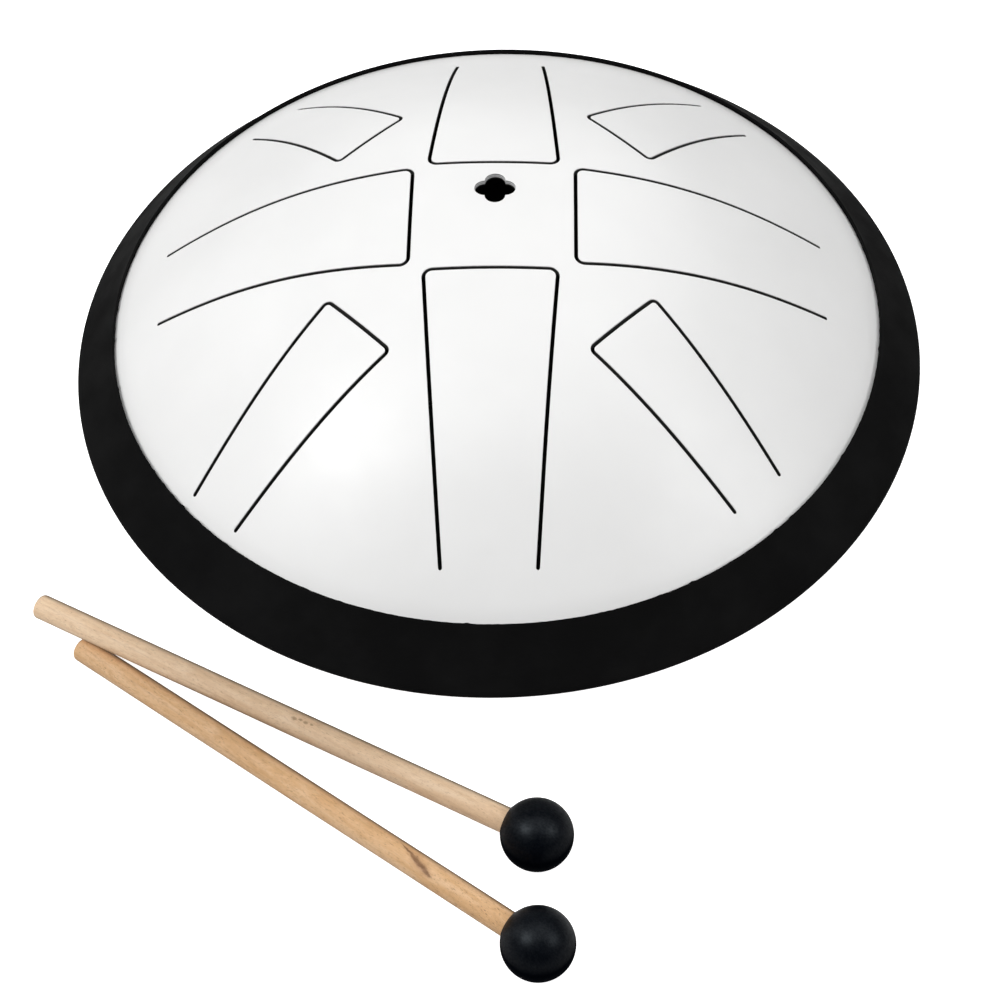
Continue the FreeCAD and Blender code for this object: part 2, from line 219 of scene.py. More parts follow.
# ------------------------------------------------------------------ shader helpers
class Shader:
    """Writes a node tree as expressions on its sockets."""

    def __init__(self, tree):
        self.tree = tree

    def feed(self, socket, value):
        if isinstance(value, bpy.types.NodeSocket):
            self.tree.links.new(value, socket)
        else:
            socket.default_value = value

    def fill(self, node, inputs):
        for key, value in inputs.items():
            self.feed(node.inputs[key], value)

    def node(self, kind, inputs=None, **settings):
        node = self.tree.nodes.new(kind)
        for key, value in settings.items():
            setattr(node, key, value)
        self.fill(node, inputs or {})
        return node

    def coords(self):
        return self.node("ShaderNodeTexCoord").outputs["Object"]

    def geometry(self, output):
        return self.node("ShaderNodeNewGeometry").outputs[output]

    def camera_ray(self):
        return self.node("ShaderNodeLightPath").outputs["Is Camera Ray"]

    def attribute(self, name, output="Fac"):
        return self.node("ShaderNodeAttribute", attribute_name=name).outputs[output]

    def mapping(self, vec, scale=(1, 1, 1), location=(0, 0, 0), rotation=(0, 0, 0)):
        return self.node("ShaderNodeMapping", {
            "Vector": vec, "Scale": scale, "Location": location, "Rotation": rotation}).outputs[0]

    def noise(self, vec, scale, detail=2.0, rough=0.5, distortion=0.0):
        return self.node("ShaderNodeTexNoise", {
            "Vector": vec, "Scale": scale, "Detail": detail, "Roughness": rough,
            "Distortion": distortion}).outputs["Fac"]

    def jitter(self, vec, amount, **noise):
        """Noise about zero, scaled by amount."""
        return self.mul(self.sub(self.noise(vec, **noise), 0.5), amount)

    def voronoi(self, vec, scale):
        return self.node("ShaderNodeTexVoronoi", {"Vector": vec, "Scale": scale}).outputs["Distance"]

    def math(self, operation, a, b=0.0):
        return self.node("ShaderNodeMath", {0: a, 1: b, 2: 0.0}, operation=operation).outputs[0]

    def add(self, a, b):
        return self.math("ADD", a, b)

    def sub(self, a, b):
        return self.math("SUBTRACT", a, b)

    def mul(self, a, b):
        return self.math("MULTIPLY", a, b)

    def length(self, a, b):
        return self.math("SQRT", self.add(self.mul(a, a), self.mul(b, b)))

    def ramp(self, value, over, to=(0.0, 1.0), kind="SMOOTHSTEP"):
        """Map value from the range over to the range to, held at both ends."""
        return self.node("ShaderNodeMapRange", {
            "Value": value, "From Min": over[0], "From Max": over[1], "To Min": to[0],
            "To Max": to[1]}, interpolation_type=kind).outputs[0]

    def mix(self, fac, a, b, mode="MIX"):
        a, b = ((*c, 1.0) if isinstance(c, tuple) else c for c in (a, b))
        return self.node("ShaderNodeMix", {0: fac, 6: a, 7: b}, data_type="RGBA",
                         blend_type=mode).outputs[2]

    def shade(self, color, value):
        """Multiply a color by a grey value."""
        grey = self.node("ShaderNodeCombineXYZ", {0: value, 1: value, 2: value}).outputs[0]
        return self.mix(1.0, color, grey, "MULTIPLY")

    def separate(self, vec):
        return self.node("ShaderNodeSeparateXYZ", {0: vec}).outputs

    def bump(self, height, strength, distance, over=None):
        """Bump normal, laid over another bump's if one is given."""
        inputs = {"Height": height, "Strength": strength, "Distance": distance}
        if over is not None:
            inputs["Normal"] = over
        return self.node("ShaderNodeBump", inputs).outputs[0]


class Principled(Shader):
    """A new material with one principled shader."""

    def __init__(self, name):
        self.material = bpy.data.materials.new(name)
        self.material.use_nodes = True
        super().__init__(self.material.node_tree)
        self.tree.nodes.clear()
        self.output = self.node("ShaderNodeOutputMaterial")
        self.bsdf = self.node("ShaderNodeBsdfPrincipled")
        self.feed(self.output.inputs[0], self.bsdf.outputs[0])

    def finish(self, inputs):
        self.fill(self.bsdf, inputs)
        return self.material


# ------------------------------------------------------------------ materials
def white_lacquer():
    """Satin white lacquer: fine orange peel, faint mottling, and painted shade, near black, down the
    slots.
    """
    g = Principled("white_lacquer")
    p = g.coords()
    peel = g.noise(p, scale=900)
    fine = g.noise(p, scale=3800, rough=0.6)
    mottle = g.ramp(g.noise(p, scale=22, detail=3, rough=0.55), over=(0.3, 0.7))
    paint = g.mix(mottle, (0.80, 0.80, 0.795), (0.83, 0.83, 0.825))
    specks = g.ramp(g.voronoi(g.mapping(p), scale=260), over=(0.0, 0.035), to=(0.86, 1.0))
    paint = g.shade(paint, specks)
    # painted shade: the cut walls go near black below a ragged depth of about 0.13 to 0.48 mm
    ragged = g.add(g.attribute("cut_depth"), g.jitter(p, amount=0.22, scale=700, detail=3))
    slot_shade = g.ramp(ragged, over=(0.13, 0.48))
    color = g.mix(slot_shade, paint, (0.030, 0.029, 0.028))
    # the clover hole's wall keeps its paint, drawn lighter than the top's paint as painted light, with
    # two darker bands at given depths
    depth = g.attribute("painted_wall")

    def band(top, bottom, soft, value):
        """1, falling to value between two depths."""
        inside = g.mul(g.ramp(depth, over=(top - soft, top)),
                       g.ramp(depth, over=(bottom, bottom + soft), to=(1.0, 0.0)))
        return g.sub(1.0, g.mul(inside, 1.0 - value))

    wall_bands = g.mul(band(top=0.10, bottom=0.36, soft=0.06, value=0.30),
                   band(top=0.92, bottom=1.06, soft=0.08, value=0.55))
    hole = g.shade((0.97, 0.97, 0.97), wall_bands)
    # painted shade: the wall goes near black below 1.38 to 1.50 mm
    hole = g.mix(g.ramp(depth, over=(1.38, 1.50)), hole, (0.02, 0.02, 0.02))
    color = g.mix(g.ramp(depth, over=(0.05, 0.15)), color, hole)
    rough = g.ramp(g.noise(p, scale=140), over=(0.3, 0.7), to=(0.40, 0.47))
    peel_bump = g.bump(peel, strength=0.12, distance=0.00008)
    return g.finish({
        "Base Color": color,
        "Roughness": g.add(rough, g.mul(slot_shade, 0.25)),
        "Coat Weight": 0.15,
        "Coat Roughness": 0.30,
        "Normal": g.bump(fine, strength=0.10, distance=0.00002, over=peel_bump),
    })


def inner_shade():
    """Unlit inside of the dishes, painted near black as shade: dull and mottled, with a fine
    rolled-steel bump.
    """
    g = Principled("inner_shade")
    p = g.coords()
    tone = g.noise(p, scale=60, detail=4, rough=0.6)
    return g.finish({
        "Base Color": g.mix(g.ramp(tone, over=(0.3, 0.7)),
                            (0.010, 0.010, 0.010), (0.020, 0.019, 0.018)),
        "Roughness": g.ramp(tone, over=(0.3, 0.7), to=(0.55, 0.75)),
        "Normal": g.bump(g.noise(p, scale=1500), strength=0.2, distance=0.00005),
    })


def edge_rubber():
    """Dull black rubber with a little dust."""
    g = Principled("edge_rubber")
    p = g.coords()
    dust = g.ramp(g.noise(p, scale=35, detail=4, rough=0.6), over=(0.35, 0.75))
    fine = g.noise(p, scale=2600, detail=3, rough=0.6)
    coarse = g.bump(g.noise(p, scale=320, detail=3), strength=0.15, distance=0.00012)
    return g.finish({
        "Base Color": g.mix(dust, (0.0046, 0.0046, 0.0047), (0.0078, 0.0078, 0.0079)),
        "Roughness": g.ramp(g.noise(p, scale=90, detail=3), over=(0.3, 0.7), to=(0.62, 0.74)),
        "Specular IOR Level": 0.020,
        "Normal": g.bump(fine, strength=0.25, distance=0.00004, over=coarse),
    })


def foot_rubber():
    """Dark grey rubber."""
    g = Principled("foot_rubber")
    p = g.coords()
    dust = g.ramp(g.noise(p, scale=120, detail=4, rough=0.6), over=(0.3, 0.8))
    return g.finish({
        "Base Color": g.mix(dust, (0.013, 0.013, 0.013), (0.030, 0.029, 0.028)),
        "Roughness": g.ramp(dust, over=(0, 1), to=(0.60, 0.8)),
        "Normal": g.bump(g.noise(p, scale=2200, detail=3), strength=0.35, distance=0.00006),
    })


def ball_rubber():
    """Turned black rubber: satin, with a few dust specks and hair scuffs.
    Dusty on top and clean underneath; painted shade fades its reflection out on faces that look down."""
    g = Principled("ball_rubber")
    p = g.attribute("local_mm", "Vector")
    up = g.separate(g.geometry("Normal"))[2]
    top = g.ramp(up, over=(0.25, 0.88), to=(0.04, 1.0))
    dust = g.mul(g.ramp(g.noise(p, scale=0.35, detail=5, rough=0.65), over=(0.45, 0.80)), top)
    color = g.mix(dust, (0.0004, 0.0010, 0.0026), (0.0022, 0.0034, 0.0058))
    specks = g.ramp(g.voronoi(p, scale=0.55), over=(0.0, 0.055), to=(1.0, 0.0))
    specks = g.mul(specks, g.ramp(g.noise(p, scale=0.9, detail=1), over=(0.56, 0.60)))
    color = g.mix(g.mul(specks, 0.45), color, (0.070, 0.074, 0.080))
    scuffs = g.noise(g.mapping(p, scale=(0.25, 1.8, 1.2)), scale=1.1, detail=4, rough=0.7)
    scuffs = g.mul(g.ramp(scuffs, over=(0.55, 0.74), to=(0.0, 0.50)), top)
    color = g.mix(scuffs, color, (0.0125, 0.0140, 0.0165))
    rough = g.ramp(g.noise(p, scale=0.8, detail=3), over=(0.3, 0.7), to=(0.36, 0.46))
    rubbed = g.noise(g.mapping(p, scale=(0.5, 2.2, 1.4), location=(4, 1, 8)),
                     scale=1.0, detail=4, rough=0.65)
    rubbed = g.ramp(rubbed, over=(0.36, 0.64), to=(0.74, 1.22))
    coarse = g.bump(g.noise(p, scale=1.6, detail=3), strength=0.08, distance=0.0001)
    return g.finish({
        "Base Color": color,
        "Roughness": g.add(rough, g.mul(dust, 0.08)),
        # painted shade: reflection strength falls from 0.185 on faces looking up to almost none on
        # faces looking down
        "Specular IOR Level": g.mul(g.ramp(up, over=(0.14, 0.86), to=(0.001, 0.185)), rubbed),
        "Specular Tint": (0.82, 0.92, 1.0, 1.0),
        "Normal": g.bump(g.noise(p, scale=9.0, detail=3), strength=0.18, distance=0.00003,
                         over=coarse),
    })


def bare_metal(name, tone_scale, dark, light, rough, grain):
    """Mottled unpainted metal.  grain: scale and detail of the bump's noise, its strength and
    distance.
    """
    g = Principled(name)
    p = g.coords()
    tone = g.noise(p, scale=tone_scale, detail=4, rough=0.6)
    scale, detail, strength, distance = grain
    return g.finish({
        "Base Color": g.mix(g.ramp(tone, over=(0.3, 0.7)), dark, light),
        "Metallic": 1.0,
        "Roughness": g.ramp(tone, over=(0.3, 0.7), to=rough),
        "Normal": g.bump(g.noise(p, scale, detail), strength, distance),
    })


def scaled(color, factor):
    return tuple(min(1.0, c * factor) for c in color)


def add_knot(g, color, p, around, z, fibre, cloud, at, lean, half_length, half_width):
    """Slanting brown streak with a halo.  at: its middle (mm around, mm along the stick)."""
    along = g.sub(z, at[1])
    wobble = g.jitter(g.mapping(p, scale=(0.5, 0.5, 0.45)), amount=1.9,
                      scale=1.0, detail=4, rough=0.7)
    off = g.sub(g.sub(g.add(around, wobble), at[0]), g.mul(along, lean))
    off = g.math("ABSOLUTE", off)
    t = g.math("DIVIDE", g.math("ABSOLUTE", along), half_length)
    taper = g.sub(0.80, g.mul(g.math("DIVIDE", along, half_length), 0.65))
    width = g.mul(g.mul(g.sub(1.0, g.mul(t, t)), taper), half_width)

    def across(over, to):
        return g.ramp(g.math("DIVIDE", off, g.math("MAXIMUM", width, 0.05)), over, to)

    inside = g.mul(across(over=(0.4, 1.6), to=(1.0, 0.0)),
                   g.ramp(t, over=(0.7, 1.0), to=(1.0, 0.0)))
    grain = g.mul(g.ramp(fibre, over=(0.3, 0.7), to=(0.75, 1.0)),
                  g.ramp(cloud, over=(0.30, 0.60), to=(0.70, 1.0)))
    halo = g.mul(across(over=(0.8, 4.0), to=(0.40, 0.0)),
                 g.ramp(t, over=(0.6, 1.0), to=(1.0, 0.0)))
    color = g.mix(halo, color, (0.42, 0.215, 0.10))
    return g.mix(g.mul(inside, grain), color, (0.185, 0.082, 0.036))


def add_dot(g, color, p, around, z, dot_around, dot_along, radius):
    """Small dark mark, drawn out along the stick."""
    off = g.length(g.sub(around, dot_around), g.mul(g.sub(z, dot_along), 0.62))
    off = g.add(off, g.jitter(p, amount=0.5, scale=2.2, detail=3))
    return g.mix(g.ramp(off, over=(radius * 0.3, radius), to=(0.65, 0.0)), color,
                 (0.34, 0.20, 0.11))


def beech(name, pale, warm, brown, figure=1.0, knot=None, dots=()):
    """Bare beech dowel.  local_mm.z runs along the stick from the ball, and x points up.
    figure: strength of the clouds and pores.  knot: add_knot's measures.
    dots: (mm around, mm along, radius) of dark marks."""
    g = Principled(name)
    p = g.attribute("local_mm", "Vector")
    # the grain is slightly tilted to the stick
    tilted = g.mapping(p, rotation=(math.radians(2.2), math.radians(-1.6), 0))

    def figure_noise(vec, stretch, location=(0, 0, 0), **noise):
        return g.noise(g.mapping(vec, scale=stretch, location=location), scale=1.0, **noise)

    tone = figure_noise(tilted, (0.30, 0.30, 0.045), detail=4, rough=0.62, distortion=0.6)
    color = g.mix(g.ramp(tone, over=(0.34, 0.66)), pale, warm)
    bands = figure_noise(tilted, (0.85, 0.85, 0.030), detail=3, rough=0.6, distortion=0.8)
    color = g.mix(g.ramp(bands, over=(0.50, 0.78), to=(0.0, 0.30)), color, brown)
    blotch = figure_noise(p, (0.35, 0.35, 0.14), detail=4, rough=0.65, distortion=0.4)
    color = g.mix(g.ramp(blotch, over=(0.50, 0.72), to=(0.0, 0.40)), color, warm)
    light = figure_noise(p, (0.42, 0.42, 0.10), (9, 4, 2), detail=3, rough=0.6, distortion=0.4)
    color = g.mix(g.ramp(light, over=(0.55, 0.75), to=(0.0, 0.35)), color, scaled(pale, 1.10))
    # short, dark ray flecks
    flecks = g.voronoi(g.mapping(tilted, scale=(2.0, 2.0, 0.75)), scale=1.0)
    keep = g.ramp(figure_noise(p, (0.30, 0.30, 0.07), detail=3), over=(0.48, 0.60))
    flecks = g.mul(g.ramp(flecks, over=(0.08, 0.24), to=(1.0, 0.0)), keep)
    color = g.mix(g.mul(flecks, 0.42), color, brown)
    # cloudy figure and short pores, stronger near the ball where the figure is strong
    cloud = figure_noise(p, (0.95, 0.95, 0.38), (3, 7, 1), detail=4, rough=0.68, distortion=0.3)
    near_ball = g.ramp(g.separate(p)[2], over=(12.0, 55.0),
                       to=(1.0 + 0.5 * (figure - 1) / 0.35, 1.0))
    dark_cloud = g.mul(g.ramp(cloud, over=(0.50, 0.70), to=(0.0, 0.42 * figure)), near_ball)
    color = g.mix(dark_cloud, color, tuple(a * 0.62 + b * 0.38 for a, b in zip(warm, brown)))
    color = g.mix(g.ramp(cloud, over=(0.30, 0.46), to=(0.38, 0.0)), color, scaled(pale, 1.08))
    pores = figure_noise(tilted, (3.4, 3.4, 0.80), (1, 5, 2), detail=3, rough=0.6)
    pores = g.mul(g.ramp(pores, over=(0.57, 0.70), to=(0.0, 0.48 * figure)), near_ball)
    color = g.mix(pores, color, scaled(brown, 0.85))
    fibre = figure_noise(tilted, (6.0, 6.0, 0.22), detail=4, rough=0.65)
    color = g.shade(color, g.ramp(fibre, over=(0.3, 0.7), to=(0.955, 1.02)))
    local = g.separate(p)
    around = g.mul(g.math("ARCTAN2", local[1], local[0]), STICK_R)
    if knot is not None:
        color = add_knot(g, color, p, around, local[2], fibre, cloud, **knot)
    for dot in dots:
        color = add_dot(g, color, p, around, local[2], *dot)
    # painted shade: flanks greyed towards the silhouette, where the stick turns away from the camera
    facing = g.node("ShaderNodeLayerWeight", {"Blend": 0.5}).outputs["Facing"]
    color = g.mix(g.ramp(facing, over=(0.45, 0.97), to=(0.0, 0.62)), color, scaled(brown, 0.62))
    # painted shade: darker where a flank looks up and back, turned away from the light in front
    up_back = g.node("ShaderNodeVectorMath", {0: g.geometry("Normal"), 1: (0.0, 0.80, 0.60)},
                     operation="DOT_PRODUCT").outputs["Value"]
    upper_flank_shade = g.mul(g.ramp(facing, over=(0.30, 0.80)),
                g.ramp(up_back, over=(0.35, 0.85), to=(0.0, 0.88)))
    color = g.mix(upper_flank_shade, color, scaled(brown, 0.30))
    fibre_bump = g.bump(fibre, strength=0.25, distance=0.00006)
    return g.finish({
        "Base Color": color,
        "Roughness": g.ramp(tone, over=(0.3, 0.7), to=(0.52, 0.62)),
        "Specular IOR Level": 0.30,
        "Normal": g.bump(flecks, strength=0.2, distance=-0.00005, over=fibre_bump),
    })


def floor_white():
    """White paper sweep, close to white for the camera, with a painted shadow, near black, under the
    drum.
    """
    g = Principled("floor_white")
    p = g.coords()
    tone = g.noise(p, scale=14)
    x, y, _ = g.separate(p)
    r = g.length(x, y)
    # painted shadow: near black, and not lit up for the camera, within 40 to 55 mm of the drum's axis
    outside = g.ramp(r, over=(0.040, 0.055))
    paper = g.mix(tone, (0.90, 0.90, 0.90), (0.91, 0.91, 0.91))
    seen = g.camera_ray()
    glow = g.mul(g.mul(seen, outside), g.ramp(r, over=(0.5, 2.5), to=(0.88, 1.0)))
    # clear from below, so that the drum's underside can be looked at
    clear = g.node("ShaderNodeBsdfTransparent").outputs[0]
    from_below = g.mul(g.geometry("Backfacing"), seen)
    mixed = g.node("ShaderNodeMixShader", {0: from_below, 1: g.bsdf.outputs[0], 2: clear})
    g.feed(g.output.inputs[0], mixed.outputs[0])
    return g.finish({
        "Base Color": g.mix(outside, (0.04, 0.04, 0.04), paper),
        "Roughness": 0.9,
        "Specular IOR Level": 0.0,
        "Emission Color": (1, 1, 1, 1),
        "Emission Strength": glow,
    })


WHITE, INNER, EDGE, FOOT, BALL = (
    white_lacquer(), inner_shade(), edge_rubber(), foot_rubber(), ball_rubber())
ZINC = bare_metal("zinc_steel", tone_scale=900, dark=(0.50, 0.50, 0.47), light=(0.66, 0.66, 0.64),
                  rough=(0.25, 0.42), grain=(4000, 2.0, 0.15, 0.00002))
WELD = bare_metal("weld_steel", tone_scale=420, dark=(0.16, 0.13, 0.11), light=(0.42, 0.40, 0.38),
                  rough=(0.35, 0.6), grain=(900, 3.0, 0.5, 0.0003))

# ------------------------------------------------------------------ top sheet: plan paths
# One planar triangulation holds the shell and all tongues, and is then raised onto the dome.
ROUND_R = 0.17              # rounding of the cut edges
ROUND_ANGLES = np.radians([0.0, 22.5, 45.0, 67.5, 90.0])    # from the wall to the top face
ROUND_BACK = ROUND_R * (1 - np.cos(ROUND_ANGLES))           # plan distance from the wall
ROUND_DOWN = ROUND_R * (1 - np.sin(ROUND_ANGLES))           # depth below the surface
WALL_DEPTHS = (0.32, 0.55, 0.85, 1.35)                      # further rows down the wall
UNDER_DEPTH = 2.2           # depth attribute of the underside
CLOVER_ZONE_R = 9.0         # cuts this close to the clover's middle belong to it
PATH_STEP, CHORD_STEP = 1.05, 1.3
GRID_STEP = 2.1
GRID_CLEAR = 0.95           # grid points keep this far from the paths
RIM_COUNT = 360


def rotated(p, degrees):
    a = math.radians(degrees)
    c, s = math.cos(a), math.sin(a)
    return np.stack([p[:, 0] * c - p[:, 1] * s, p[:, 0] * s + p[:, 1] * c], 1)


def fillet(before, at, after, radius, count):
    """Arc that rounds the corner at."""
    a = (before - at) / np.linalg.norm(before - at)
    b = (after - at) / np.linalg.norm(after - at)
    half = 0.5 * math.acos(float(np.clip(a @ b, -1, 1)))
    run = radius / math.tan(half)
    middle = (a + b) / np.linalg.norm(a + b)
    center = at + middle * radius / math.sin(half)
    start, end = (math.atan2(*(at + d * run - center)[::-1]) for d in (a, b))
    while end - start > math.pi:
        end -= 2 * math.pi
    while end - start < -math.pi:
        end += 2 * math.pi
    t = np.linspace(start, end, count)
    return np.stack([center[0] + radius * np.cos(t), center[1] + radius * np.sin(t)], 1)


def slot_path(tongue, shift, cap):
    """U from the root round the tip and back, moved by shift from the slot's centreline, with
    the tongue along +X.  cap adds the slot's round ends.  The point count doesn't depend on
    shift."""
    side = np.array([tongue.root - tongue.tip, tongue.root_half - tongue.tip_half])
    length = np.linalg.norm(side)
    side = side / length
    normal = np.array([-side[1], side[0]])
    end = np.array([tongue.root, tongue.root_half])
    base = np.array([tongue.tip, tongue.tip_half]) + normal * shift
    tip = base + side * ((tongue.tip - shift - base[0]) / side[0])
    arc = fillet(end + normal * shift, tip, tip * (1, -1), tongue.corner_r + shift, 9)
    if cap:
        t = np.linspace(-math.pi / 2, math.atan2(normal[1], normal[0]), 13)
        start = np.stack([end[0] + shift * np.cos(t), end[1] + shift * np.sin(t)], 1)
    else:
        start = np.array([[tongue.root, tongue.root_half + shift]])
    count = max(int(round(length / PATH_STEP)), 8)
    t = np.linspace(0, 1, count + 1)[1:-1, None]
    half = np.vstack([start, start[-1] + (arc[0] - start[-1]) * t, arc])
    count = max(int(round(2 * tongue.tip_half / PATH_STEP)), 8)
    t = np.linspace(0, 1, count + 1)[1:-1, None]
    other = half[::-1] * (1, -1)
    return np.vstack([half, half[-1] + (other[0] - half[-1]) * t, other])


def clover_path(grow):
    """Closed outline of the four-lobed hole, grown outwards by grow."""
    r = LOBE_R + grow
    # neighbouring lobes meet on the diagonals, at (meet, meet)
    meet = (LOBE_OFFSET + math.sqrt(2 * r * r - LOBE_OFFSET * LOBE_OFFSET)) / 2
    end = math.atan2(meet, meet - LOBE_OFFSET)
    t = np.linspace(-end, end, 25)[:-1]
    lobe = np.stack([LOBE_OFFSET + r * np.cos(t), r * np.sin(t)], 1)
    return np.vstack([rotated(lobe, 90 * k) for k in range(4)]) + CLOVER_AT


def tongue_paths(tongue):
    """Shell side and tongue side of the slot for each rounding step, and the root chord."""
    shell_side = [slot_path(tongue, HALF_SLOT + back, True) for back in ROUND_BACK]
    tongue_side = [slot_path(tongue, -(HALF_SLOT + back), False) for back in ROUND_BACK]
    for k, back in enumerate(ROUND_BACK):       # both sides meet exactly on the root chord
        w = tongue.root_half - HALF_SLOT - back
        for path in (shell_side[k], tongue_side[k]):
            path[0] = (tongue.root, w)
            path[-1] = (tongue.root, -w)
    count = max(int(round(2 * (tongue.root_half - HALF_SLOT) / CHORD_STEP)), 6)
    chord = np.stack([np.full(count - 1, tongue.root), np.linspace(-w, w, count + 1)[1:-1]], 1)
    turn = tongue.azimuth
    return ([rotated(p, turn) for p in shell_side], [rotated(p, turn) for p in tongue_side],
            rotated(chord, turn))


# ------------------------------------------------------------------ top sheet: triangulation
def inside_polygon(p, polygon):
    inside = np.zeros(len(p), bool)
    for (x0, y0), (x1, y1) in zip(polygon, np.roll(polygon, -1, 0)):
        if y0 == y1:
            continue
        crosses = (y0 > p[:, 1]) != (y1 > p[:, 1])
        inside ^= crosses & (p[:, 0] < (x1 - x0) * (p[:, 1] - y0) / (y1 - y0) + x0)
    return inside


points, edges, ids = [], [], {}


def add_points(p):
    start = len(points)
    points.extend(map(tuple, p))
    return list(range(start, start + len(p)))


def add_chain(chain):
    edges.extend(zip(chain[:-1], chain[1:]))


paths = {name: tongue_paths(tongue) for name, tongue in TONGUES.items()}
clover = [clover_path(back) for back in ROUND_BACK]
for name, (shell_side, tongue_side, chord) in paths.items():
    shell_ids = add_points(shell_side[-1])
    tongue_ids = [shell_ids[0]] + add_points(tongue_side[-1][1:-1]) + [shell_ids[-1]]
    chord_ids = add_points(chord)       # from the shell path's last point to its first
    ids[name] = (shell_ids, tongue_ids, chord_ids)
    for chain in (shell_ids, tongue_ids, [shell_ids[-1]] + chord_ids + [shell_ids[0]]):
        add_chain(chain)
ids["clover"] = add_points(clover[-1])
add_chain(ids["clover"] + ids["clover"][:1])
rim_angles = np.linspace(0, 2 * math.pi, RIM_COUNT, endpoint=False)
ids["rim"] = add_points(np.stack([RIM_R * np.cos(rim_angles), RIM_R * np.sin(rim_angles)], 1))
add_chain(ids["rim"] + ids["rim"][:1])


def grid_points():
    """Triangular grid over the plan, slightly disturbed, clear of the paths and the rim."""
    tree = kdtree.KDTree(len(points))
    for i, p in enumerate(points):
        tree.insert((p[0], p[1], 0), i)
    tree.balance()
    grid = []
    for j, y in enumerate(np.arange(-RIM_R, RIM_R, GRID_STEP * math.sqrt(3) / 2)):
        row = np.arange(-RIM_R - GRID_STEP, RIM_R + GRID_STEP, GRID_STEP)
        for x in row + (GRID_STEP / 2 if j % 2 else 0):
            if math.hypot(x, y) < RIM_R - 1.0:
                grid.append((x + 1e-3 * math.sin(7.1 * x + 3.3 * y),
                             y + 1e-3 * math.cos(5.3 * x - 2.9 * y)))
    return [p for p in grid if tree.find((p[0], p[1], 0))[2] > GRID_CLEAR]


add_points(grid_points())
cdt = geometry.delaunay_2d_cdt([Vector(p) for p in points], edges, [], 0, 1e-6, True)
plan = np.array([(v[0], v[1]) for v in cdt[0]])
plan_id = np.full(len(points), -1)      # place in plan of every input point
for i, sources in enumerate(cdt[3]):
    for source in sources:
        plan_id[source] = i
        plan[i] = points[source]
triangles = np.array([tuple(f) for f in cdt[2]], int)
centers = plan[triangles].mean(1)
corner_a, corner_b, corner_c = (plan[triangles[:, k]] for k in range(3))
clockwise = np.cross(corner_b - corner_a, corner_c - corner_a) < 0
triangles[clockwise] = triangles[clockwise][:, ::-1]

NOTHING, SHELL = -1, 0                  # tongues are 1, 2, ...
owner = np.full(len(triangles), SHELL)
owner[np.hypot(*centers.T) > RIM_R * math.cos(math.pi / RIM_COUNT) + 0.05] = NOTHING
owner[inside_polygon(centers, clover[-1])] = NOTHING
for i, (shell_side, tongue_side, _) in enumerate(paths.values(), 1):
    owner[inside_polygon(centers, shell_side[-1])] = NOTHING
    owner[inside_polygon(centers, tongue_side[-1])] = i


# ------------------------------------------------------------------ top sheet: solid pieces
def surface_normal(p, slope_at, up):
    """Normals over the plan points p; up is 1 for the top face and -1 for the underside."""
    r = np.hypot(p[:, 0], p[:, 1])
    s = slope_at(r) / np.maximum(r, 1e-9)
    return unit(up * np.stack([-s * p[:, 0], -s * p[:, 1], np.ones(len(p))], 1))


def top_normal(p):
    return surface_normal(p, top_slope, 1)


def under_normal(p):
    return surface_normal(p, inner_slope, -1)


def path_normals(path, closed):
    """Plan normals on the right of a path."""
    t = np.roll(path, -1, 0) - np.roll(path, 1, 0) if closed else np.gradient(path, axis=0)
    t = unit(t)
    return np.stack([t[:, 1], -t[:, 0]], 1)


def over_z(p):
    return top_z(np.hypot(p[:, 0], p[:, 1]))


def under_z(p):
    return np.maximum(inner_z(np.hypot(p[:, 0], p[:, 1])), SEAM_Z + 0.02)


# steps: paths for each rounding step; ids: plan ids of the last one; side: +1 if the material
# lies on its left, -1 on its right; chord: plan ids along the root, None for a closed cut;
# look: direction the root face looks in
Cut = namedtuple("Cut", "steps ids side chord look", defaults=(None, None))
# corners of a strip's quads as (row, step along the row)
WALL_QUAD = ((0, 0), (1, 0), (1, 1), (0, 1))
UNDER_QUAD = ((0, 0), (0, 1), (1, 1), (1, 0))
# DARK is the inside's material, painted near black as shade
PAINTED, DARK = 0, 1                    # material slots


class SheetMesh:
    """One closed piece of the top sheet, with a normal for every face corner."""

    def __init__(self):
        self.verts, self.depths = [], []
        self.faces, self.normals, self.mats = [], [], []

    def add_row(self, p, z, depth):
        start = len(self.verts)
        self.verts.extend(np.column_stack([p, z]).tolist())
        self.depths.extend([depth] * len(p))
        return list(range(start, start + len(p)))

    def face(self, corners, normals, mat):
        self.faces.append(tuple(int(i) for i in corners))
        self.normals.extend([tuple(n) for n in normals])
        self.mats.append(mat)

    def strip(self, rows, normals, quad, closed, mat):
        count = len(rows[0])
        for i in range(count if closed else count - 1):
            at = [(row, (i + step) % count) for row, step in quad]
            self.face([rows[r][k] for r, k in at], [normals[r][k] for r, k in at], mat)

    def cut_wall(self, cut, top, low):
        """Rounded edge and wall of a cut.  Returns its rows from the top to the underside."""
        closed = cut.chord is None
        wall = cut.steps[0]
        side = path_normals(wall, closed) * cut.side
        side = np.column_stack([side, np.zeros(len(side))])
        rows, normals = [list(top[cut.ids])], [top_normal(plan[cut.ids])]
        for k in range(len(cut.steps) - 2, -1, -1):
            p = cut.steps[k]
            rows.append(self.add_row(p, over_z(p) - ROUND_DOWN[k], float(ROUND_DOWN[k])))
            angle = ROUND_ANGLES[k]
            normals.append(unit(top_normal(p) * math.sin(angle) + side * math.cos(angle)))
        for depth in WALL_DEPTHS:
            rows.append(self.add_row(wall, over_z(wall) - depth, depth))
            normals.append(side)
        rows.append(self.add_row(wall, under_z(wall), UNDER_DEPTH))
        normals.append(side)
        for k in range(len(rows) - 1):
            self.strip(rows[k:k + 2], normals[k:k + 2], WALL_QUAD[::cut.side], closed, PAINTED)
        under = list(low[cut.ids])
        self.strip((under, rows[-1]), (under_normal(plan[cut.ids]), under_normal(wall)),
                   UNDER_QUAD[::cut.side], closed, DARK)
        return rows + [under]


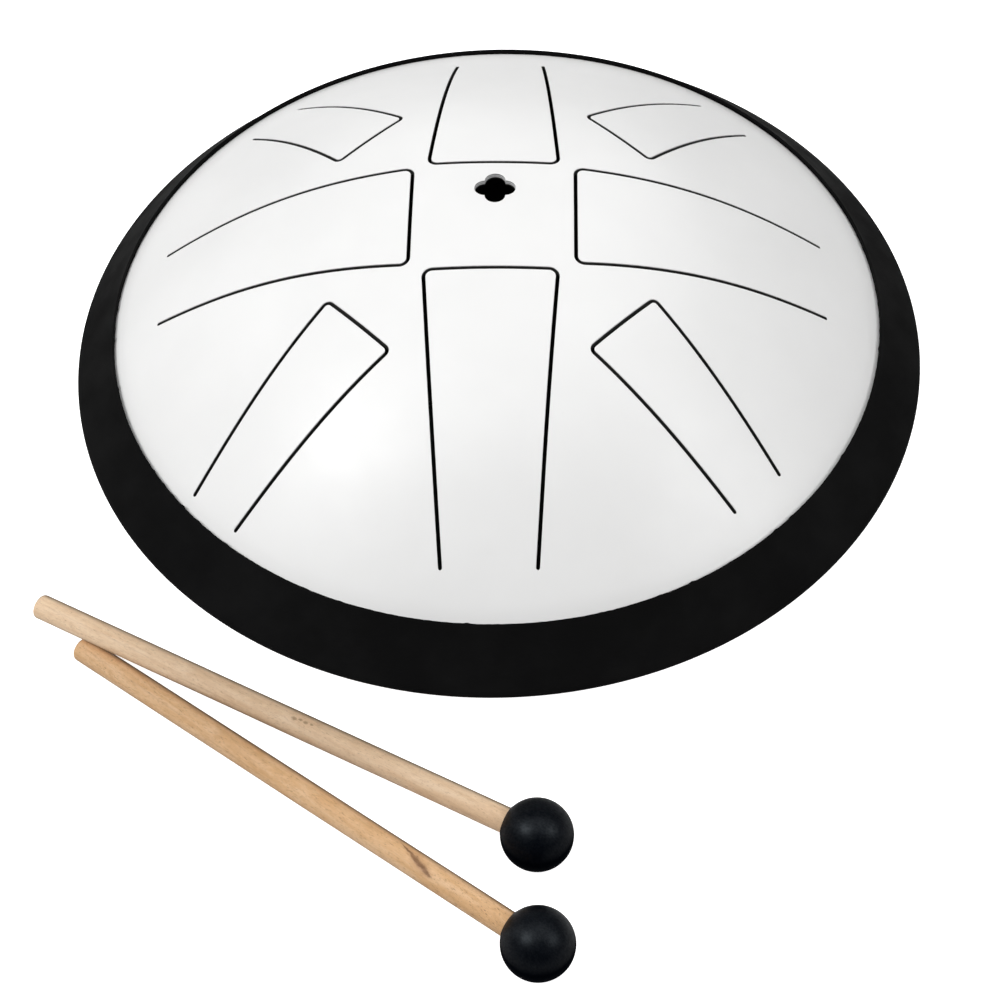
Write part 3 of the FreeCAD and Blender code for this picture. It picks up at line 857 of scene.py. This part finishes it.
def sheet_piece(name, tris, cuts, rim=None):
    mesh = SheetMesh()
    used = np.unique(tris)
    p = plan[used]
    top, low = np.full(len(plan), -1), np.full(len(plan), -1)
    top[used] = mesh.add_row(p, over_z(p), 0.0)
    low[used] = mesh.add_row(p, under_z(p), UNDER_DEPTH)
    top_normals, low_normals = top_normal(plan), under_normal(plan)
    for t in tris:
        mesh.face(top[t], top_normals[t], PAINTED)
        t = t[::-1]
        mesh.face(low[t], low_normals[t], DARK)
    walls = [mesh.cut_wall(cut, top, low) for cut in cuts]
    if rim is not None:
        outward = np.column_stack([unit(plan[rim]), np.zeros(len(rim))])
        mesh.strip((top[rim], low[rim]), (outward, outward), WALL_QUAD, True, DARK)
    for cut, rows in zip(cuts, walls):
        if cut.chord is None:
            continue
        first = [row[0] for row in rows]
        last = [row[-1] for row in rows]
        root = first + list(low[cut.chord[::-1]]) + last[::-1] + list(top[cut.chord])
        mesh.face(root[::-cut.side], [cut.look] * len(root), DARK)
    ob = new_object(name, mesh.verts, mesh.faces, (WHITE, INNER), mesh.mats)
    ob.data.normals_split_custom_set(mesh.normals)
    depths = np.array(mesh.depths)
    from_clover = np.array(mesh.verts)[:, :2] - CLOVER_AT
    in_hole = np.hypot(*from_clover.T) < CLOVER_ZONE_R
    point_attribute(ob, "cut_depth", np.where(in_hole, 0.0, depths))
    point_attribute(ob, "painted_wall", np.where(in_hole, depths, 0.0))
    return ob


def build_tongue(index, name):
    """Build a tongue's plate, and return the cut it leaves in the shell."""
    tongue = TONGUES[name]
    azimuth = math.radians(tongue.azimuth)
    outward = np.array([math.cos(azimuth), math.sin(azimuth), 0.0])
    shell_side, tongue_side, _ = paths[name]
    shell_ids, tongue_ids, chord = (plan_id[i] for i in ids[name])
    plate = sheet_piece(name + "_plate", triangles[owner == index],
                        [Cut(tongue_side, tongue_ids, 1, chord, outward)])
    z = float(top_z(tongue.root)) - 1.2

    def at(r):
        return (r * outward[0] * MM, r * outward[1] * MM, z * MM)

    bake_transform(plate)
    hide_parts(name)
    return Cut(shell_side, shell_ids, -1, chord, -outward)


shell_cuts = [build_tongue(i, name) for i, name in enumerate(TONGUES, 1)]
shell_cuts.append(Cut(clover, plan_id[ids["clover"]], -1))
shell = sheet_piece("top_dish", triangles[owner == SHELL], shell_cuts, rim=plan_id[ids["rim"]])
attach(shell, "drum", "top_shell")


# ------------------------------------------------------------------ bottom dish
def bottom_dish():
    """The mirror of the top dish, with the round port in its middle."""
    edge = 0.7                          # rounding of the port's edges
    edge_r = PORT_R + edge
    bite = 0.05                         # the roundings start this far inside the sheet
    radii = np.concatenate([np.linspace(RIM_R, 118, 6), np.linspace(115, edge_r + 1, 44)])
    outer = [(r, below_seam(float(top_z(r)))) for r in radii]
    z = below_seam(float(top_z(PORT_R)))
    outer += arc_points(edge_r, z + edge - bite, edge, -90, -180, 7)
    z = below_seam(float(inner_z(PORT_R)))
    inner = arc_points(edge_r, z - edge + bite, edge, 180, 90, 7)
    radii = np.concatenate([np.linspace(edge_r + 1, 112, 36), np.linspace(114, RIM_R, 7)])
    inner += [(r, min(below_seam(float(inner_z(r))), SEAM_Z - 0.02)) for r in radii]
    # painted shade: the port's rounded edge, from partway round, and the whole inside take the
    # near-black inside material
    painted = len(outer) - 4
    dish = lathe("bottom_dish", outer + inner, 288, (WHITE, INNER), sharp_deg=40,
                 mat_of=lambda i: PAINTED if i < painted else DARK)
    dish.data.flip_normals()            # the profile runs the other way round
    attach(dish, "drum", "bottom_shell")


bottom_dish()

# ------------------------------------------------------------------ rubber edge
LIP_R, LIP_RISE = 115.4, 14.87          # edge of the upper lip, above the seam
NOSE_AT_R, NOSE_R = 127.1, 2.1
FLANK_END = np.array([NOSE_AT_R + 1.496, SEAM_Z + 1.474])
LIP_BEAD_R = 0.19
STEEL_GAP = 0.03
WELD_CLEAR_R = 1.0                      # relief round the weld bead
# slow wander of the lip and the nose: mean, then cosine and sine pairs, mm outwards
LIP_WANDER = (0.307, 0.315, 0.506, 0.077, 0.298, -0.248, -0.038, 0.202, 0.067, -0.024, 0.120)
NOSE_WANDER = (0.158, 0.418, -0.173, 0.034, 0.263, -0.134, 0.029)
# raggedness of the lip: (waves round the ring, phase, amplitude), then small nicks
WAVES = [(k, RNG.uniform(0, 2 * math.pi), 0.5 / math.sqrt(k))
         for k in (3, 5, 8, 13, 19, 27, 38, 54, 77, 103, 131)]
WAVES += [(k, RNG.uniform(0, 2 * math.pi), 0.085) for k in (163, 197, 229, 263, 307, 349)]
NICK_ANGLES = RNG.uniform(0, 2 * math.pi, 46)
NICK_SIZES = RNG.uniform(0.3, 1.5, 46)
NICK_WIDTH = 0.006                      # radians
LOWER_PHASE = 1.3                       # the lower lip's waves are moved by this


def ring_profile():
    """Closed (r, z) profile of the edging, and how many points lie on its steel side."""
    steel = [(r, float(top_z(r)) + STEEL_GAP) for r in (*np.linspace(LIP_R + 0.15, 125.4, 10), 126.05)]
    for degrees in (85, 42):
        a = math.radians(degrees)
        steel.append((WELD_AT_R + WELD_CLEAR_R * math.cos(a), SEAM_Z + WELD_CLEAR_R * math.sin(a)))
    start = np.array([LIP_R, SEAM_Z + LIP_RISE])
    flank = np.linalg.norm(FLANK_END - start)
    along = (FLANK_END - start) / flank
    normal = np.array([-along[1], along[0]])
    bead = start + along * 0.62 + normal * (-0.02)
    outer = arc_points(bead[0], bead[1], LIP_BEAD_R, 215, 45, 6)
    for t in np.linspace(0.02, 0.98, 14):
        swell = 0.12 * (1 - t) * math.exp(-t * 6)
        outer.append(tuple(start + along * (0.75 + (flank - 0.75) * t) + normal * swell))
    outer += arc_points(NOSE_AT_R, SEAM_Z, NOSE_R, 44.6, 0, 6)

    def mirrored(profile):
        return [(r, below_seam(z)) for r, z in profile]

    inner = steel + [(WELD_AT_R + WELD_CLEAR_R, SEAM_Z)] + mirrored(steel)[::-1]
    return inner + mirrored(outer[:-1]) + outer[::-1], len(inner)


ring_points, inner_count = ring_profile()


def wander(terms, angles):
    total = terms[0]
    for k, (c, s) in enumerate(zip(terms[1::2], terms[2::2]), 1):
        total = total + c * np.cos(k * angles) + s * np.sin(k * angles)
    return total


def ring_warp(i, angles, r, z):
    base_r = ring_points[i][0]
    side = 1.0 if z[0] > SEAM_Z else -1.0
    lip_share = min(1.0, max(0.0, (125.0 - base_r) / (125.0 - LIP_R)))
    shift = wander(LIP_WANDER, angles) * lip_share
    z = z + side * (top_z(r + shift) - top_z(r))
    r = r + shift
    if i >= inner_count:
        r = r + wander(NOSE_WANDER, angles) * (1 - lip_share)
    phase_shift = LOWER_PHASE if side < 0 else 0
    wave = sum(size * np.sin(k * angles + phase + phase_shift) for k, phase, size in WAVES)
    nick = 0
    for at, size in zip(NICK_ANGLES, NICK_SIZES):
        away = (angles - at + math.pi) % (2 * math.pi) - math.pi
        nick = nick + size * np.exp(-(away / NICK_WIDTH) ** 2)
    near_lip = math.exp(-((base_r - LIP_R) / 0.9) ** 2)
    ragged = near_lip * (0.10 * wave - 0.17 * nick)
    on_flank = math.exp(-((base_r - 121.5) / 4.5) ** 2)
    swell = 0.05 * on_flank * np.sin(9 * angles + 0.4) * 0.7
    return r + ragged + swell, z - side * ragged * 0.79 + side * swell


ring = lathe("edge_ring", ring_points, 1260, (EDGE,), sharp_deg=60, warp=ring_warp)
attach(ring, "drum", "rubber_ring")

# ------------------------------------------------------------------ feet
FOOT_AZIMUTHS = {"foot_back": 90.0, "foot_left": 210.0, "foot_right": 330.0}
FOOT_AT_R = 52.0
FOOT_TOP_R, FOOT_END_R = 12.0, 10.0
FOOT_STRAIGHT, FOOT_TAPER = 1.5, 11.5   # depth of the straight part, length of the tapered one
FOOT_RECESS_R, FOOT_FLOOR_T = 5.0, 3.5  # recess from below, rubber left above it
FOOT_BORE_R = 2.15
FOOT_EDGE = 0.7
FOOT_SEGMENTS = 72


def foot(name, azimuth):
    """Rubber foot on the sloping dish, cut level at the floor.
    Its points are given by an angle phi, a radius rho and a depth t along its tilted axis."""
    a = math.radians(azimuth)
    outward = np.array([math.cos(a), math.sin(a), 0.0])
    across = np.array([-math.sin(a), math.cos(a), 0.0])
    climb = -float(top_slope(FOOT_AT_R))            # the bottom dish climbs outwards
    axis = (outward * climb - np.array([0, 0, 1.0])) / math.hypot(1, climb)
    forward = np.cross(across, axis)
    center = outward * FOOT_AT_R + np.array([0, 0, below_seam(float(top_z(FOOT_AT_R)))])

    def point(phi, rho, t):
        return center + rho * (math.cos(phi) * forward + math.sin(phi) * across) + t * axis

    def dish_t(phi, rho):
        t = 0.0
        for _ in range(12):
            p = point(phi, rho, t)
            t += (p[2] - below_seam(float(top_z(math.hypot(p[0], p[1]))))) / 1.05
        return t + 0.04

    def sole_t(phi, rho):
        return -point(phi, rho, 0.0)[2] / axis[2]

    def side_rho(t):
        if t < FOOT_STRAIGHT:
            return FOOT_TOP_R
        return FOOT_TOP_R + (FOOT_END_R - FOOT_TOP_R) * (t - FOOT_STRAIGHT) / FOOT_TAPER

    def profile(phi):
        """Closed (rho, t) profile, from the bore outwards over the top."""
        radii = (FOOT_BORE_R, 4.5, 7.0, 9.5, FOOT_TOP_R - 0.4)
        prof = [(rho, dish_t(phi, rho)) for rho in radii]
        top = dish_t(phi, FOOT_TOP_R)
        prof += [(FOOT_TOP_R - 0.12, top + 0.12), (FOOT_TOP_R, top + 0.4)]
        end = sole_t(phi, side_rho(sole_t(phi, 10.3)))
        for k in np.linspace(0.12, 1, 9):
            t = top + 0.4 + (end - FOOT_EDGE - top - 0.4) * k
            prof.append((side_rho(t), t))
        for b in np.radians([22.5, 45, 67.5, 90]):
            rho = side_rho(end) - FOOT_EDGE * (1 - math.cos(b))
            prof.append((rho, sole_t(phi, rho) - FOOT_EDGE * (1 - math.sin(b))))
        prof += [(rho, sole_t(phi, rho)) for rho in (8.2, 7.0, FOOT_RECESS_R + 0.5)]
        mouth = sole_t(phi, FOOT_RECESS_R)
        return prof + [
            (FOOT_RECESS_R + 0.12, mouth - 0.15), (FOOT_RECESS_R, mouth - 0.5),
            (FOOT_RECESS_R, FOOT_FLOOR_T + 0.3), (FOOT_RECESS_R - 0.3, FOOT_FLOOR_T),
            (FOOT_BORE_R, FOOT_FLOOR_T)]

    verts = []
    for phi in np.linspace(0, 2 * math.pi, FOOT_SEGMENTS, endpoint=False):
        verts += [point(phi, rho, t) for rho, t in profile(phi)]
    count = len(verts) // FOOT_SEGMENTS
    faces = []
    for k in range(FOOT_SEGMENTS):
        here, there = k * count, (k + 1) % FOOT_SEGMENTS * count
        for i in range(count):
            j = (i + 1) % count
            faces.append((there + i, there + j, here + j, here + i))
    pad = new_object(name + "_pad", verts, faces, (FOOT,), sharp_deg=38)
    attach(pad, "drum", name)


for name, azimuth in FOOT_AZIMUTHS.items():
    foot(name, azimuth)

CAD_METALS = {"foot_screws": ZINC, "foot_washers": ZINC, "foot_nuts": ZINC, "seam_weld": WELD}
for name, metal in CAD_METALS.items():
    mats = frame["nodes"][name].data.materials
    mats.clear()
    mats.append(metal)

# ------------------------------------------------------------------ mallets
pale_beech = beech(
    "beech_pale", pale=(0.92, 0.695, 0.48), warm=(0.84, 0.59, 0.375), brown=(0.51, 0.31, 0.18),
    dots=((-0.5, 81.0, 0.80), (-0.1, 79.0, 0.60), (-0.3, 77.2, 0.70), (-0.1, 75.2, 0.5)))
warm_beech = beech(
    "beech_warm", pale=(0.79, 0.525, 0.305), warm=(0.70, 0.42, 0.205), brown=(0.40, 0.215, 0.105),
    figure=1.35, knot=dict(at=(-0.2, 42.7), lean=0.30, half_length=8.0, half_width=0.85))
# ball and butt in plan, height of the butt's middle, stick length from the ball's middle,
# wood, and a shift of the ball's texture
Mallet = namedtuple("Mallet", "ball butt butt_z length wood texture_shift")
MALLETS = {
    "mallet_lower": Mallet((12.94, -179.54), (-129.57, -76.60), STICK_R + FLOOR_GAP + 0.01,
                           MALLET_L + 0.8, warm_beech, 0),
    "mallet_upper": Mallet((12.51, -145.41), (-142.18, -65.71), 10.86,
                           MALLET_L - 0.4, pale_beech, 37.0),
}
SOCKET_R = STICK_R + 0.04
SOCKET_LIP_R = 0.55


def dowel_profile(end):
    r = STICK_R - 0.02
    start = -3.0                        # inside the ball
    start_edge, end_edge = 0.3, 1.3
    prof = [(0.0, start), (r * 0.5, start)]
    prof += arc_points(r - start_edge, start + start_edge, start_edge, -90, 0, 5)
    prof += [(r, z) for z in np.linspace(start + start_edge, end - end_edge, 60)[1:-1]]
    prof += arc_points(r - end_edge, end - end_edge, end_edge, 0, 78, 8)
    return prof + [(r * 0.5, end), (0.0, end)]


def head_profile():
    """The ball, with the lipped socket that holds the stick."""
    lip_angle = math.asin((SOCKET_R + SOCKET_LIP_R) / (BALL_R - SOCKET_LIP_R * 0.6))
    prof = arc_points(0.0, 0.0, BALL_R, -90, 90 - math.degrees(lip_angle) - 1.5, 56)
    lip_z = BALL_R * math.cos(lip_angle) - SOCKET_LIP_R + 0.07
    prof += arc_points(SOCKET_R + SOCKET_LIP_R, lip_z, SOCKET_LIP_R, 62, 180, 9)
    prof += [(SOCKET_R, z) for z in (7.0, 4.0, 0.0, -2.6)]
    return prof + [(SOCKET_R - 0.4, -3.04), (0.0, -3.04)]


def lay_down(ob, rotation, origin, texture_shift=0):
    """Keep the upright places in local_mm, then bake the lying position into the mesh."""
    local = np.array([v.co[:] for v in ob.data.vertices]) / MM
    point_attribute(ob, "local_mm", local + texture_shift, "FLOAT_VECTOR")
    matrix = Matrix(rotation.tolist()).to_4x4()
    matrix.translation = Vector(origin * MM)
    ob.data.transform(matrix)
    ob.data.update()


def build_mallet(name, mallet):
    center = np.array([*mallet.ball, BALL_R + FLOOR_GAP])
    along = unit(np.array([*mallet.butt, mallet.butt_z]) - center)
    sideways = unit(np.cross(along, [0, 0, 1.0]))
    up = np.cross(sideways, along)
    rotation = np.column_stack([up, sideways, along])
    phase = [RNG.uniform(0, 2 * math.pi) for _ in range(3)]

    def stick_warp(i, angles, r, z):
        """Slight unevenness of the dowel."""
        bulge = (0.02 * np.sin(2 * angles + phase[0] + z * 0.02)
                 + 0.012 * np.sin(z * 0.11 + phase[1])
                 + 0.01 * np.sin(3 * angles + phase[2] - z * 0.05))
        return r * (1 + bulge / STICK_R), z

    stick = lathe(name + "_dowel", dowel_profile(mallet.length), 64, (mallet.wood,),
                  sharp_deg=50, warp=stick_warp)
    lay_down(stick, rotation, center)
    attach(stick, name, name + "_stick")
    head = lathe(name + "_head", head_profile(), 112, (BALL,), sharp_deg=50)
    lay_down(head, rotation, center, mallet.texture_shift)
    attach(head, name, name + "_ball")


for name, mallet in MALLETS.items():
    build_mallet(name, mallet)

# ------------------------------------------------------------------ floor, lights, camera; metres
bpy.ops.mesh.primitive_plane_add(size=8.0, location=(0, 0, 0))
floor = bpy.context.object
floor.name = "floor"
floor.data.materials.append(floor_white())

scene = bpy.context.scene
scene.world = bpy.data.worlds.new("studio")
scene.world.use_nodes = True
sky = Shader(scene.world.node_tree)
# a weak room light; beyond the floor's edge the camera sees the same white as the paper
sky.fill(sky.tree.nodes["Background"], {
    0: (1, 1, 1, 1),
    1: sky.ramp(sky.camera_ray(), over=(0.0, 1.0), to=(0.07, 1.0), kind="LINEAR")})

LAMP_TARGET = (0, 0, 0.05)
LAMP_DISTANCE = 1.2
# azimuth and elevation in degrees, side of the square lamp, watts
LIGHTS = {
    "softbox_left": (202, 54, 0.50, 7.3),
    "softbox_right": (341, 40, 0.45, 3.9),
    "fill_left": (160, 28, 0.90, 2.6),
    "fill_right": (15, 62, 0.90, 1.9),
    "fill_back": (90, 38, 1.00, 2.6),
    "fill_top": (0, 88, 1.00, 4.0),
}


def area_light(name, azimuth, elevation, size, power):
    a, e = math.radians(azimuth), math.radians(elevation)
    at = (LAMP_DISTANCE * math.cos(e) * math.cos(a), LAMP_DISTANCE * math.cos(e) * math.sin(a),
          LAMP_DISTANCE * math.sin(e) + LAMP_TARGET[2])
    light = bpy.data.lights.new(name, "AREA")
    light.shape = "RECTANGLE"
    light.size = light.size_y = size
    light.energy = power
    ob = bpy.data.objects.new(name, light)
    ob.location = at
    aim = Vector(LAMP_TARGET) - Vector(at)
    ob.rotation_euler = aim.to_track_quat("-Z", "Y").to_euler()
    scene.collection.objects.link(ob)


for name, settings in LIGHTS.items():
    area_light(name, *settings)

camera = bpy.data.objects.new("camera", bpy.data.cameras.new("camera"))
scene.collection.objects.link(camera)
camera.data.lens = 80.553
camera.data.sensor_width = 36.0
camera.data.clip_start = 0.01
# the last column is the camera's place
camera.matrix_world = Matrix([
    [0.9995897, 0.0032912, 0.0284519, 0.020501],
    [0.0144607, 0.7994791, -0.6005198, -0.455081],
    [-0.0247231, 0.6006849, 0.7991035, 0.58313],
    [0, 0, 0, 1]])
scene.camera = camera
scene.view_settings.view_transform = "Standard"
scene.view_settings.look = "None"

bpy.context.view_layer.update()
